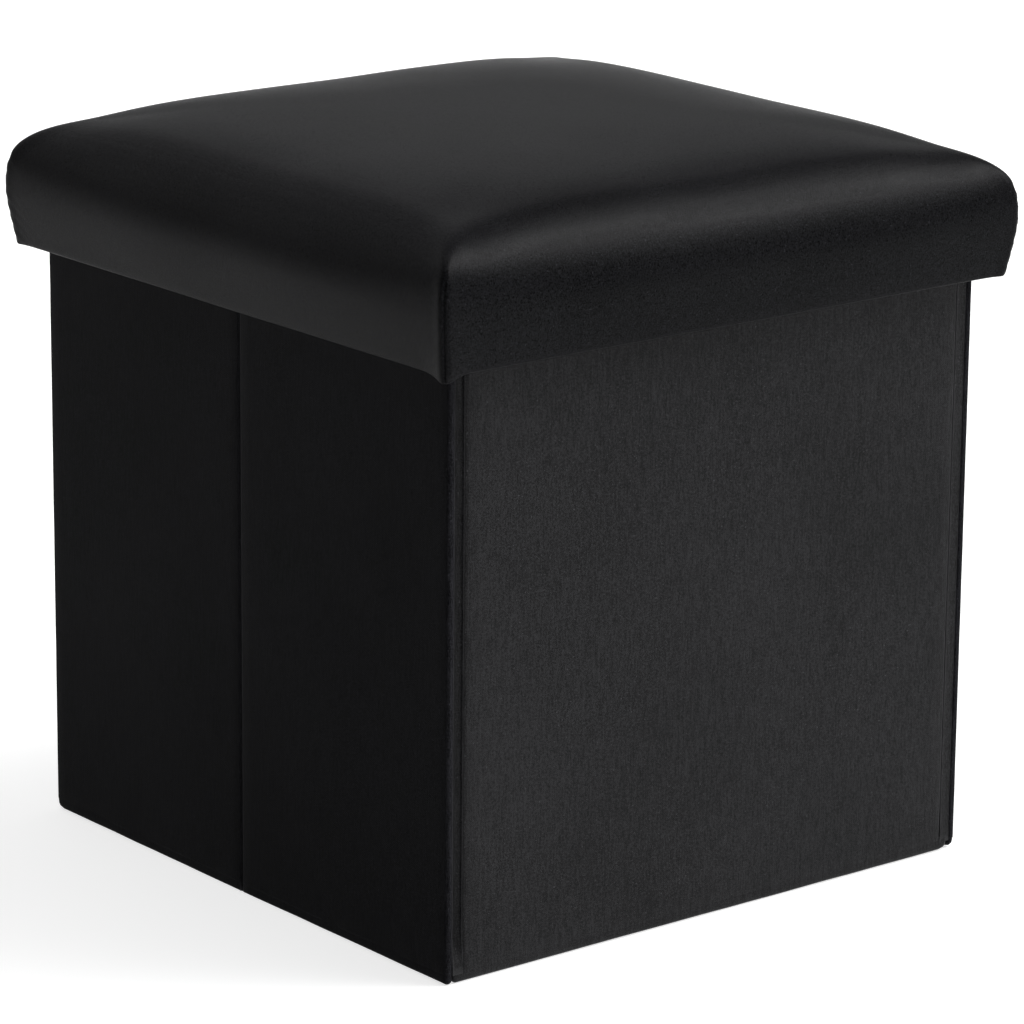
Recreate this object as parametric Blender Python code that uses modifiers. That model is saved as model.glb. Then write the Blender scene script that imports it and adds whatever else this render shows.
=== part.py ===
"""Cube storage ottoman with a lift-off padded lid and folding cloth-covered walls.

Units are metres, +Z is up and the front faces -Y. The origin is on the floor
under the middle of the body. Front and back walls are whole. Each side wall is
two half panels with an upright fold between them, so that the body folds flat
front to back. A base board lifts about the foot of the back wall.
"""
import math

import bmesh
import bpy

# ---- driving dimensions -------------------------------------------------
BODY_WIDTH = 0.346          # outer faces of the two side walls
BODY_DEPTH = 0.346          # outer faces of the front and back walls
WALL_HEIGHT = 0.350         # floor to the top of the wall binding
LID_OVERLAP = 0.035         # the closed lid hangs this far below the top of the walls

SKIN = 0.0008               # outer cloth
BOARD = 0.0026              # stiff board inside each wall
LINING = 0.0005             # inner non-woven cloth
GAP = 0.0003                # clearance between pieces that touch

HEM_HEIGHT = 0.0043         # soft cloth hem under every wall
HEM_GAP = 0.0003            # hem to the cloth above it
BINDING_HEIGHT = 0.0030     # sewn binding on the top edge
CORNER_VALLEY = 0.0060      # cloth channel between a side wall and a front wall
CORNER_STRIP = 0.0010       # thickness of the cloth in that channel
STACK_GAP = 0.0055          # room between a front wall and a folded side panel
MID_FOLD_GAP = 0.0020       # between the two halves of a side wall
MID_AXIS_OUT = 0.0005       # fold axis outside the outer cloth

BASE_THICK = 0.0032         # base board with its cover
BASE_COVER = 0.0005
BASE_CLEARANCE = 0.0015     # base board to the side and front walls
BASE_BACK_CLEARANCE = 0.0012
BASE_REST = 0.0010          # underside of the base board above the floor
TAPE = 0.0006               # cloth hinge tape of the base board
TAPE_HEIGHT = 0.0150
TAPE_INSET = 0.0180         # tape ends short of the back wall's ends
BOTTOM_CLOTH = 0.0005
BOTTOM_CLOTH_REST = 0.0002

SKIRT_CLEARANCE = 0.0076    # outer wall cloth to the lid lining
LID_LINING = 0.0005
RIM_BOARD = 0.0026
RIM_END_INSET = 0.0060      # rim boards stop short of the corners
RIM_TOP_STEP = 0.0019       # rim boards stand this far up past the lid board's underside
LID_BOARD = 0.0050
LID_BOARD_CORNER = 0.0080
LINING_CORNER = 0.0060      # plan radius of the lid lining
LID_COVER = 0.0012
RIM_CORNER = 0.0060         # plan radius of the cover at its lower edge
BULGE_CORNER = 0.0120       # plan radius of the cover at its widest
BULGE_OUT = 0.0044          # the cover is this much wider at the bulge
BULGE_DROP = 0.0050         # widest line of the cover below the top of the walls
ROLL_WIDTH = 0.0200         # rounded edge of the padded top
ROLL_HEIGHT = 0.0330
CROWN = 0.0140              # rise of the padding above the rounded edge
FOAM_SIDE_GAP = 0.0048      # foam to the widest part of the cover, inside
FOAM_TOP_GAP = 0.0010       # foam to the inside of the cover's top
TOP_CELLS = 10              # rings of faces from the middle of the lid to its bulge
SKIRT_CELLS = 3

# ---- derived dimensions -------------------------------------------------
HALF_W = BODY_WIDTH / 2
HALF_D = BODY_DEPTH / 2
WALL = SKIN + GAP + BOARD + GAP + LINING
CLOTH_FOOT = HEM_HEIGHT + HEM_GAP
CLOTH_TOP = WALL_HEIGHT - BINDING_HEIGHT - GAP
BOARD_FOOT = CLOTH_FOOT + GAP
HALF_FRONT = HALF_W - WALL - CORNER_VALLEY
HINGE_X = HALF_W - WALL
HINGE_Y = HALF_D - WALL - STACK_GAP
MID_AXIS_X = HALF_W + MID_AXIS_OUT
BASE_HINGE_Y = HALF_D - WALL - BASE_BACK_CLEARANCE
BASE_TOP = BASE_REST + BASE_THICK
LID_LINING_OUT = SKIRT_CLEARANCE + LID_LINING
RIM_INNER = LID_LINING_OUT + GAP
RIM_OUTER = RIM_INNER + RIM_BOARD
COVER_OUT = RIM_OUTER + GAP + LID_COVER + 0.0001
LID_RIM_HEIGHT = WALL_HEIGHT - LID_OVERLAP
BULGE_Z = WALL_HEIGHT - BULGE_DROP
SKIRT_HEIGHT = BULGE_Z - LID_RIM_HEIGHT
LINING_UNDER = WALL_HEIGHT + GAP
LINING_TOP = LINING_UNDER + LID_LINING
LID_BOARD_UNDER = LINING_TOP + GAP
LID_BOARD_TOP = LID_BOARD_UNDER + LID_BOARD
RIM_FOOT = LID_RIM_HEIGHT + 0.0010
RIM_TOP = LID_BOARD_UNDER + RIM_TOP_STEP

COLOURS = {
    "cloth": ((0.022, 0.022, 0.024), 0.62, 0.0),
    "lining": ((0.018, 0.018, 0.019), 0.85, 0.0),
    "board": ((0.33, 0.24, 0.16), 0.80, 0.0),
    "foam": ((0.62, 0.60, 0.52), 0.90, 0.0),
}


# ---- scene set-up -------------------------------------------------------
def clear_scene():
    for thing in list(bpy.data.objects):
        bpy.data.objects.remove(thing, do_unlink=True)
    for group in list(bpy.data.collections):
        bpy.data.collections.remove(group)


def new_collection(name):
    group = bpy.data.collections.new(name)
    bpy.context.scene.collection.children.link(group)
    return group


def material(name, kind):
    colour, roughness, metallic = COLOURS[kind]
    made = bpy.data.materials.new(name)
    made.use_nodes = True
    shader = made.node_tree.nodes["Principled BSDF"]
    shader.inputs["Base Color"].default_value = (*colour, 1.0)
    shader.inputs["Roughness"].default_value = roughness
    shader.inputs["Metallic"].default_value = metallic
    made.diffuse_color = (*colour, 1.0)
    return made


def axis_empty(group, name, location):
    empty = bpy.data.objects.new(name, None)
    empty.empty_display_size = 0.02
    empty.location = location
    group.objects.link(empty)
    return empty


def add_object(group, name, bm, kind, centre, axis):
    """Make an object whose mesh is drawn about its centre, parented to its joint axis."""
    mesh = bpy.data.meshes.new(name)
    bm.to_mesh(mesh)
    bm.free()
    made = bpy.data.objects.new(name, mesh)
    made.data.materials.append(material(name, kind))
    made.parent = axis
    made.location = [c - a for c, a in zip(centre, axis.location)]
    group.objects.link(made)
    return made


# ---- shapes -------------------------------------------------------------
def box(group, name, low, high, kind, axis):
    """A plain block between two opposite corners."""
    lows = [min(a, b) for a, b in zip(low, high)]
    highs = [max(a, b) for a, b in zip(low, high)]
    bm = bmesh.new()
    bmesh.ops.create_cube(bm, size=1.0)
    size = [b - a for a, b in zip(lows, highs)]
    bmesh.ops.scale(bm, vec=size, verts=bm.verts)
    centre = [(a + b) / 2 for a, b in zip(lows, highs)]
    return add_object(group, name, bm, kind, centre, axis)


def solidify(made, thickness, offset=-1.0):
    shell = made.modifiers.new("thickness", "SOLIDIFY")
    shell.thickness = thickness
    shell.offset = offset
    shell.use_even_offset = True
    return shell


def ribbon(group, name, plan, foot, top, thickness, outward, kind, axis):
    """Cloth that follows a plan line from foot to top, its outer side on the line."""
    middle = len(plan) // 2
    first, second = plan[middle - 1], plan[middle]
    along = (second[0] - first[0], second[1] - first[1])
    facing = along[1] * outward[0] - along[0] * outward[1]
    ordered = list(plan) if facing > 0 else list(reversed(plan))
    centre_x = sum(p[0] for p in plan) / len(plan)
    centre_y = sum(p[1] for p in plan) / len(plan)
    height = top - foot
    bm = bmesh.new()
    points = [bm.verts.new((p[0] - centre_x, p[1] - centre_y, -height / 2)) for p in ordered]
    edges = [bm.edges.new((a, b)) for a, b in zip(points, points[1:])]
    raised = bmesh.ops.extrude_edge_only(bm, edges=edges)
    lifted = [v for v in raised["geom"] if isinstance(v, bmesh.types.BMVert)]
    bmesh.ops.translate(bm, vec=(0, 0, height), verts=lifted)
    bm.normal_update()
    face = bm.faces[:][len(bm.faces) // 2]
    if face.normal.x * outward[0] + face.normal.y * outward[1] < 0:
        bmesh.ops.reverse_faces(bm, faces=bm.faces)
    centre = (centre_x, centre_y, (foot + top) / 2)
    made = add_object(group, name, bm, kind, centre, axis)
    solidify(made, thickness)
    return made


def round_upright_edges(made, radius, height):
    """Round the four upright edges of a block or a tray."""
    rounded = made.modifiers.new("corners", "BEVEL")
    rounded.width = radius
    rounded.segments = 3
    rounded.limit_method = "WEIGHT"
    weights = made.data.attributes.new("bevel_weight_edge", "FLOAT", "EDGE")
    for edge in made.data.edges:
        ends = [made.data.vertices[i].co for i in edge.vertices]
        upright = abs(ends[0].z - ends[1].z) > height / 2
        weights.data[edge.index].value = 1.0 if upright else 0.0


def tray(group, name, low, high, thickness, kind, axis, corner=0.0):
    """A sheet with its four sides turned down, open underneath."""
    bm = bmesh.new()
    bmesh.ops.create_cube(bm, size=1.0)
    size = [b - a for a, b in zip(low, high)]
    bmesh.ops.scale(bm, vec=size, verts=bm.verts)
    under = [f for f in bm.faces if f.normal.z < -0.9]
    bmesh.ops.delete(bm, geom=under, context="FACES_ONLY")
    centre = [(a + b) / 2 for a, b in zip(low, high)]
    made = add_object(group, name, bm, kind, centre, axis)
    if corner > 0:
        round_upright_edges(made, corner, size[2])
    solidify(made, thickness)
    return made


def contour(u, v, half_x, half_y, radius):
    """The point of a round-cornered rectangle that lies in direction u, v."""
    x = abs(u) * half_x
    y = abs(v) * half_y
    over_x = x - (half_x * max(abs(u), abs(v)) - radius)
    over_y = y - (half_y * max(abs(u), abs(v)) - radius)
    if over_x > 0 and over_y > 0:
        reach = radius / math.hypot(over_x, over_y)
        x += over_x * (reach - 1)
        y += over_y * (reach - 1)
    return math.copysign(x, u), math.copysign(y, v)


def padded_height(u, v, roll_share, roll_height, crown):
    """Height of the padding above its edge: a rounded edge, then a gentle crown."""
    ring = max(abs(u), abs(v))
    out = max(0.0, (ring - (1 - roll_share)) / roll_share)
    rounded = roll_height * math.sqrt(max(0.0, 1 - out * out))
    swell = (1 - abs(u) ** 3) * (1 - abs(v) ** 3)
    return rounded + crown * max(0.0, swell) ** 0.8


def padded_sheet(half_x, half_y, radius, edge_z, roll_width, roll_height, crown, skirt):
    """A grid drawn into a padded top, with rows of skirt below its edge."""
    rings = TOP_CELLS + len(skirt)
    bm = bmesh.new()
    bmesh.ops.create_grid(bm, x_segments=2 * rings, y_segments=2 * rings, size=rings)
    roll_share = roll_width / half_x
    for vert in bm.verts:
        column = round(vert.co.x)
        row = round(vert.co.y)
        ring = max(abs(column), abs(row))
        reach = max(ring, TOP_CELLS)
        u = math.sin(math.pi / 2 * column / reach)
        v = math.sin(math.pi / 2 * row / reach)
        if ring <= TOP_CELLS:
            corner = radius * max(abs(u), abs(v)) ** 2
            x, y = contour(u, v, half_x, half_y, corner)
            z = edge_z + padded_height(u, v, roll_share, roll_height, crown)
        else:
            drop, narrower, corner = skirt[ring - TOP_CELLS - 1]
            x, y = contour(u, v, half_x - narrower, half_y - narrower, corner)
            z = edge_z - drop
        vert.co = (x, y, z)
    bm.normal_update()
    return bm


# ---- the walls ----------------------------------------------------------
def wall_layers(group, name, plan, outward, hem_low, hem_high, axis):
    """One wall panel: skin, board, lining, hem and binding.

    plan runs along the outer face: return, face, face, return.
    """
    inner_end_a, outer_a, outer_b, inner_end_b = plan
    made = [ribbon(group, name + "_skin", plan, CLOTH_FOOT, CLOTH_TOP, SKIN, outward, "cloth", axis)]
    along = [outer_b[i] - outer_a[i] for i in range(2)]
    length = math.hypot(*along)
    along = [c / length for c in along]
    end = SKIN + GAP

    def layer(suffix, depth_low, depth_high, foot, top, kind):
        low = [outer_a[i] + along[i] * end - outward[i] * depth_low for i in range(2)]
        high = [outer_b[i] - along[i] * end - outward[i] * depth_high for i in range(2)]
        return box(group, name + suffix, (*low, foot), (*high, top), kind, axis)

    board_depth = SKIN + GAP
    lining_depth = board_depth + BOARD + GAP
    made.append(layer("_board", board_depth, board_depth + BOARD, BOARD_FOOT, CLOTH_TOP - GAP, "board"))
    made.append(layer("_lining", lining_depth, lining_depth + LINING, CLOTH_FOOT, CLOTH_TOP, "lining"))
    made.append(box(group, name + "_hem", (*hem_low, 0.0), (*hem_high, HEM_HEIGHT), "cloth", axis))
    made.append(box(group, name + "_binding", (*hem_low, WALL_HEIGHT - BINDING_HEIGHT),
                    (*hem_high, WALL_HEIGHT), "cloth", axis))
    return made


def whole_wall(group, name, side, axis):
    """The front wall (side -1) or the back wall (side +1)."""
    outer = side * HALF_D
    inner = side * (HALF_D - WALL)
    plan = [(-HALF_FRONT, inner), (-HALF_FRONT, outer), (HALF_FRONT, outer), (HALF_FRONT, inner)]
    return wall_layers(group, name, plan, (0, side), (-HALF_FRONT, inner), (HALF_FRONT, outer), axis)


def half_panel(group, name, side_x, side_y, axis):
    """One half of a side wall, from the corner to the upright fold in its middle."""
    outer = side_x * HALF_W
    inner = side_x * (HALF_W - WALL)
    corner = side_y * HALF_D
    fold = side_y * MID_FOLD_GAP / 2
    plan = [(inner, corner), (outer, corner), (outer, fold), (inner, fold)]
    return wall_layers(group, name, plan, (side_x, 0), (inner, corner), (outer, fold), axis)


def corner_strip(group, name, side_x, side_y, axis):
    """The cloth at the bottom of the channel where two walls meet."""
    inner_y = side_y * (HALF_D - WALL + 0.0002)
    outer_y = side_y * (HALF_D - WALL + 0.0002 + CORNER_STRIP)
    low = (side_x * (HALF_FRONT + GAP), inner_y, HEM_HEIGHT / 8)
    high = (side_x * (HINGE_X - GAP), outer_y, WALL_HEIGHT - BINDING_HEIGHT / 2)
    return box(group, name, low, high, "cloth", axis)


def fold_strip(group, name, side_x, axis):
    """The cloth that joins the two halves of a side wall."""
    half = MID_FOLD_GAP / 2 - GAP
    low = (side_x * (HALF_W - WALL + LINING), -half, HEM_HEIGHT / 8)
    high = (side_x * (HALF_W - SKIN / 4), half, WALL_HEIGHT - BINDING_HEIGHT / 2)
    return box(group, name, low, high, "cloth", axis)


# ---- the base -----------------------------------------------------------
def base_pieces(group, axis, wall_axis, floor_axis):
    half_x = HALF_W - WALL - BASE_CLEARANCE
    front_y = -(HALF_D - WALL - BASE_CLEARANCE)
    tray(group, "base_cover", (-half_x, front_y, BASE_REST), (half_x, BASE_HINGE_Y, BASE_TOP),
         BASE_COVER, "lining", axis)
    inset = BASE_COVER + GAP
    box(group, "base_panel", (-half_x + inset, front_y + inset, BASE_REST),
        (half_x - inset, BASE_HINGE_Y - inset, BASE_TOP - inset), "board", axis)
    tape_y = BASE_HINGE_Y + GAP
    tape_half = HALF_FRONT - TAPE_INSET
    box(group, "base_hinge_tape", (-tape_half, tape_y, BASE_REST + 0.0002),
        (tape_half, tape_y + TAPE, BASE_REST + TAPE_HEIGHT), "lining", wall_axis)
    cloth_x = HALF_W - WALL - GAP - 0.0001
    cloth_y = HALF_D - WALL - GAP - 0.0001
    box(group, "bottom_cloth", (-cloth_x, -cloth_y, BOTTOM_CLOTH_REST),
        (cloth_x, cloth_y, BOTTOM_CLOTH_REST + BOTTOM_CLOTH), "lining", floor_axis)


# ---- the lid ------------------------------------------------------------
def lid_pieces(group, axis):
    lining_x = HALF_W + LID_LINING_OUT
    lining_y = HALF_D + LID_LINING_OUT
    tray(group, "lid_lining", (-lining_x, -lining_y, RIM_FOOT), (lining_x, lining_y, LINING_TOP),
         LID_LINING, "lining", axis, LINING_CORNER)

    for side, word in ((-1, "front"), (1, "back")):
        box(group, "lid_rim_" + word,
            (-(HALF_W + RIM_OUTER - RIM_END_INSET), side * (HALF_D + RIM_INNER), RIM_FOOT),
            (HALF_W + RIM_OUTER - RIM_END_INSET, side * (HALF_D + RIM_OUTER), RIM_TOP), "board", axis)
    for side, word in ((-1, "left"), (1, "right")):
        box(group, "lid_rim_" + word,
            (side * (HALF_W + RIM_INNER), -(HALF_D + RIM_OUTER - RIM_END_INSET), RIM_FOOT),
            (side * (HALF_W + RIM_OUTER), HALF_D + RIM_OUTER - RIM_END_INSET, RIM_TOP), "board", axis)

    board = box(group, "lid_board", (-lining_x, -lining_y, LID_BOARD_UNDER),
                (lining_x, lining_y, LID_BOARD_TOP), "board", axis)
    round_upright_edges(board, LID_BOARD_CORNER, LID_BOARD)

    cover_x = HALF_W + COVER_OUT + BULGE_OUT
    cover_y = HALF_D + COVER_OUT + BULGE_OUT
    skirt = []
    for row in range(1, SKIRT_CELLS + 1):
        share = row / SKIRT_CELLS
        curved = BULGE_OUT * share * share
        corner = BULGE_CORNER + (RIM_CORNER - BULGE_CORNER) * share
        skirt.append((SKIRT_HEIGHT * share, curved, corner))
    bm = padded_sheet(cover_x, cover_y, BULGE_CORNER, BULGE_Z, ROLL_WIDTH, ROLL_HEIGHT, CROWN, skirt)
    cover = add_object(group, "lid_cover", bm, "cloth", (0, 0, 0), axis)
    solidify(cover, LID_COVER)

    foam_x = cover_x - LID_COVER - FOAM_SIDE_GAP - GAP
    foam_y = cover_y - LID_COVER - FOAM_SIDE_GAP - GAP
    foam_foot = LID_BOARD_TOP + GAP
    foam_roll = BULGE_Z + ROLL_HEIGHT - LID_COVER - FOAM_TOP_GAP - foam_foot
    bm = padded_sheet(foam_x, foam_y, BULGE_CORNER, foam_foot, ROLL_WIDTH, foam_roll,
                      CROWN - GAP, [])
    rim = [e for e in bm.edges if e.is_boundary]
    bmesh.ops.contextual_create(bm, geom=rim)
    bmesh.ops.recalc_face_normals(bm, faces=bm.faces)
    add_object(group, "lid_foam", bm, "foam", (0, 0, 0), axis)


# ---- build --------------------------------------------------------------
def main():
    clear_scene()
    group = new_collection("storage_ottoman")

    front = axis_empty(group, "front_wall_axis", (0.0, -HALF_D, 0.0))
    left_front = axis_empty(group, "left_front_axis", (-HINGE_X, -HINGE_Y, 0.0))
    right_front = axis_empty(group, "right_front_axis", (HINGE_X, -HINGE_Y, 0.0))
    left_back = axis_empty(group, "left_fold_axis", (-MID_AXIS_X, 0.0, 0.0))
    right_back = axis_empty(group, "right_fold_axis", (MID_AXIS_X, 0.0, 0.0))
    back = axis_empty(group, "left_back_axis", (-HINGE_X, HINGE_Y, 0.0))
    base = axis_empty(group, "base_axis", (0.0, BASE_HINGE_Y, BASE_TOP))
    lid = axis_empty(group, "lid_axis", (0.0, 0.0, 0.0))

    whole_wall(group, "front_wall", -1, front)
    whole_wall(group, "back_wall", 1, back)
    half_panel(group, "left_front_panel", -1, -1, left_front)
    half_panel(group, "left_back_panel", -1, 1, left_back)
    half_panel(group, "right_front_panel", 1, -1, right_front)
    half_panel(group, "right_back_panel", 1, 1, right_back)

    corner_strip(group, "front_left_corner_strip", -1, -1, front)
    corner_strip(group, "front_right_corner_strip", 1, -1, front)
    corner_strip(group, "back_left_corner_strip", -1, 1, back)
    corner_strip(group, "back_right_corner_strip", 1, 1, back)
    fold_strip(group, "left_fold_strip", -1, left_front)
    fold_strip(group, "right_fold_strip", 1, right_front)

    base_pieces(group, base, back, front)
    lid_pieces(group, lid)
    bpy.context.view_layer.update()


main()
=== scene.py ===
"""Looks for a cube storage ottoman: folding cloth-covered walls, a base board and a padded lift-off lid."""

import math

import bmesh
import bpy
from mathutils import Matrix, Vector, noise


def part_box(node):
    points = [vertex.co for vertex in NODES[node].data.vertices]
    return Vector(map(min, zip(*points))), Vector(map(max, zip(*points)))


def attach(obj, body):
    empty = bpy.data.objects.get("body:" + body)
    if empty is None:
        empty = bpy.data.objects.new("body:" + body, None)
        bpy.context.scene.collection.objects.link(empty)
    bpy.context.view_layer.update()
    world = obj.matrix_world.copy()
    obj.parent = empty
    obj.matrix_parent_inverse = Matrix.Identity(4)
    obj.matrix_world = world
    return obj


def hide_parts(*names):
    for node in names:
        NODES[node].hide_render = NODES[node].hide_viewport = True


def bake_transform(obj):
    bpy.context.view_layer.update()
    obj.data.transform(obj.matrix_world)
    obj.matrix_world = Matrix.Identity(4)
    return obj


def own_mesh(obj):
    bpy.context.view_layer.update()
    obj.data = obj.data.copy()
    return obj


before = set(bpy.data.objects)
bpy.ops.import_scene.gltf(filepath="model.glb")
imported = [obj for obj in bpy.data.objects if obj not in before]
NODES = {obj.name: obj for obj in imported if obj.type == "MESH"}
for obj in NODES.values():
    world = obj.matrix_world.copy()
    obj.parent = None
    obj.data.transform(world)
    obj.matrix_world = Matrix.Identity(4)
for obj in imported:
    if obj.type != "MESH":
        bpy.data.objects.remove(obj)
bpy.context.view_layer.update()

MM = 0.001
WALLS = ("front_wall", "back_wall", "left_front_panel", "left_back_panel",
         "right_front_panel", "right_back_panel")
TINY = 1e-9

# ---- sizes, in metres ---------------------------------------------------
COVER_SHEET = 0.7 * MM         # outer cloth round a wall
EDGE_ROUND = 1.9 * MM          # free edges of a covered wall
FOLD_ROUND = 1.0 * MM          # edges beside the middle fold
CORNER_ROUND = 5.0 * MM        # lower outer corners of a wall, seen square on
NEAR_ROUND = 1.2 * MM          # lower corners that meet the next wall's cloth
FLANGE = 7.0 * MM              # cloth turned over onto a wall's inner face
WALL_CELL = 7.0 * MM
HEM_TUCK = 4.0 * MM            # the hem runs this far up under the cover's edge
HEM_BRIDGE = 5.6 * MM          # front and back hems cross the corner channels
HEM_INSET = 0.05 * MM          # the hem lies this far under the cover's faces
HEM_WAVE = 0.3 * MM            # unevenness of the hem's foot
COVER_FOOT = 0.2 * MM          # the cover reaches this far past the hem and under the tape
COVER_FREE = 25.0 * MM         # the cover is held at its edges, and slack from here in
COVER_SLACK = 0.12 * MM
COVER_WAVE = 0.22 * MM
COVER_EDGE_WAVE = 0.12 * MM
TAPE_TALL = 9.0 * MM
TAPE_SHORT = 0.2 * MM          # tape ends stop short of the wall's ends
TAPE_ROUND = 1.5 * MM
TAPE_FOLD_ROUND = 0.9 * MM
TAPE_WAVE = 0.3 * MM
TAPE_STITCH_UP = 2.2 * MM      # stitches above the tape's lower edge
TAPE_PROUD = 0.20 * MM
STITCH_PITCH = 3.6 * MM
STITCH_LONG = 2.5 * MM
STITCH_WIDE = 0.30 * MM
STITCH_FLAT = 0.4              # a stitch's height over its width
LINING_SHEET = 0.4 * MM
LINING_PROUD = 0.25 * MM
LINING_WAVE = 0.25 * MM
CHANNEL_SHEET = 0.5 * MM
CHANNEL_FACE = 172.8 * MM      # where a channel is flush, from the middle of the box
CHANNEL_SET_BACK = 0.9 * MM
CHANNEL_SHALLOW = 0.1 * MM     # depth left at the foot
CHANNEL_FADE = (8.5 * MM, 24.0 * MM)
PANEL_END_X = 168.7 * MM
WALL_END_X = 162.3 * MM
BACK_CHANNEL = 2.2 * MM
CHANNEL_STEPS = 16
BRIDGE_SHEET = 0.4 * MM
# half of the fold bridge's section, in mm: along the wall, then out from the middle of the box
FOLD_SECTION = [(2.2, 172.72), (1.6, 172.70), (1.0, 172.55), (0.5, 172.25), (0.0, 172.10)]

LID_RINGS = 38                 # rings of cells from the middle of the lid to its widest line
LID_SHEET = 0.8 * MM
LID_ROLL_WIDTH = 33.0 * MM
LID_ROLL_HEIGHT = 34.3 * MM
LID_CORNER_DROP = 3.4 * MM     # the rounded edge is lower at the corners
LID_CORNER_SPAN = 35.0 * MM
LID_CORNER_FULL = 0.9          # added to the power of the rounded edge's curve at the corners
LID_CROWN = 15.5 * MM
LID_SWELL = 2.2 * MM           # how far the simulation may move a point
LID_PULL_IN = 0.3              # share of its sideways movement that the cloth keeps over the rim
BULGE_CORNER = 4.0 * MM
RIM_CORNER = 3.4 * MM
BULGE_ABOVE_RIM = 30.0 * MM
RIM_NARROWER = 4.4 * MM        # half width lost from the bulge to the rim
RIM_DROOP = 4.2 * MM           # the rim hangs lower at the near corner
RIM_DROOP_ELSEWHERE = 0.6 * MM
SEAM_TALL = 50.0 * MM          # corner seam, from the rim up
SEAM_DEEP = 0.80 * MM
SEAM_WIDE = 0.55 * MM
SEAM_END_DEEP = 0.4 * MM       # the notch where the seam ends
SEAM_LIP = 0.30 * MM
SEAM_PUCKER = 0.22 * MM
RIDGE_LONG = 115.0 * MM        # soft ridge from each corner towards the middle
RIDGE_HIGH = 1.7 * MM
RIM_RAISE = 0.9 * MM           # the rim between its corners
RIM_WAVE = 0.35 * MM
TOP_WAVE = 0.5 * MM
TOP_RIPPLE = 0.15 * MM
SKIRT_WAVE = 0.40 * MM
LID_LINING_DEEP = 31.0 * MM
LID_LINING_CORNER = 5.6 * MM
SIMULATION_FRAMES = 20


# ---- materials ----------------------------------------------------------
class Shader:
    """A material being built from nodes."""

    def __init__(self, name):
        self.material = bpy.data.materials.new(name)
        self.material.use_nodes = True
        self.tree = self.material.node_tree
        self.bsdf = self.tree.nodes["Principled BSDF"]
        self.position = self.node("ShaderNodeTexCoord").outputs["Object"]

    def node(self, kind, **values):
        made = self.tree.nodes.new(kind)
        for key, value in values.items():
            setattr(made, key, value)
        return made

    def link(self, source, target):
        self.tree.links.new(source, target)

    def put(self, target, value):
        if hasattr(value, "is_linked"):
            self.link(value, target)
        else:
            target.default_value = value

    def math(self, operation, a, b=0.0, clamp=False):
        made = self.node("ShaderNodeMath", operation=operation, use_clamp=clamp)
        self.put(made.inputs[0], a)
        self.put(made.inputs[1], b)
        return made.outputs[0]

    def mix(self, shares):
        """A weighted sum of values."""
        total = None
        for value, share in shares:
            part = self.math("MULTIPLY", value, share)
            total = part if total is None else self.math("ADD", total, part)
        return total

    def noise(self, scale, detail=2.0, roughness=0.5, stretch=None):
        made = self.node("ShaderNodeTexNoise")
        made.inputs["Scale"].default_value = scale
        made.inputs["Detail"].default_value = detail
        made.inputs["Roughness"].default_value = roughness
        place = self.position
        if stretch:
            mapping = self.node("ShaderNodeMapping")
            mapping.inputs["Scale"].default_value = stretch
            self.link(place, mapping.inputs["Vector"])
            place = mapping.outputs[0]
        self.link(place, made.inputs["Vector"])
        return made.outputs["Fac"]

    def ramp(self, value, stops):
        made = self.node("ShaderNodeValToRGB")
        elements = made.color_ramp.elements
        while len(elements) < len(stops):
            elements.new(0.5)
        for element, (position, colour) in zip(elements, stops):
            element.position = position
            element.color = (*colour, 1.0)
        self.link(value, made.inputs[0])
        return made.outputs[0]

    def blend(self, share, first, second, kind="MIX"):
        made = self.node("ShaderNodeMix", data_type="RGBA", blend_type=kind)
        self.put(made.inputs[0], share)
        self.put(made.inputs[6], first)
        self.put(made.inputs[7], second)
        return made.outputs[2]

    def bump(self, height, distance, strength=1.0, after=None):
        made = self.node("ShaderNodeBump")
        made.inputs["Distance"].default_value = distance
        made.inputs["Strength"].default_value = strength
        self.link(height, made.inputs["Height"])
        if after is not None:
            self.link(after, made.inputs["Normal"])
        return made.outputs[0]


def weave_height(s, pitch):
    """A plain weave's height from the position: uneven threads along and across in each face's plane."""
    uneven = s.node("ShaderNodeTexNoise")
    uneven.inputs["Scale"].default_value = 210.0
    s.link(s.position, uneven.inputs["Vector"])
    shift = s.node("ShaderNodeVectorMath", operation="MULTIPLY_ADD")
    s.link(uneven.outputs["Color"], shift.inputs[0])
    shift.inputs[1].default_value = (1.6 * pitch,) * 3
    s.link(s.position, shift.inputs[2])
    parts = s.node("ShaderNodeSeparateXYZ")
    s.link(shift.outputs[0], parts.inputs[0])
    k = math.pi / pitch
    x, y, z = (s.math("SINE", s.math("MULTIPLY", parts.outputs[i], k)) for i in range(3))
    facing = s.node("ShaderNodeSeparateXYZ")
    s.link(s.node("ShaderNodeTexCoord").outputs["Normal"], facing.inputs[0])
    total = 0.0
    for side, (a, b) in enumerate(((y, z), (x, z), (x, y))):
        share = s.math("MULTIPLY", facing.outputs[side], facing.outputs[side])
        total = s.math("ADD", s.math("MULTIPLY", s.math("MULTIPLY", a, b), share), total)
    return total


def edge_wear_and_highlight(s):
    """0 on flat cloth and up to 1 on edges that stand proud, where the cloth is lightened for wear and a
    painted highlight.
    """
    geometry = s.node("ShaderNodeNewGeometry")
    return s.ramp(geometry.outputs["Pointiness"], [(0.53, (0, 0, 0)), (0.60, (1, 1, 1))])


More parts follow.
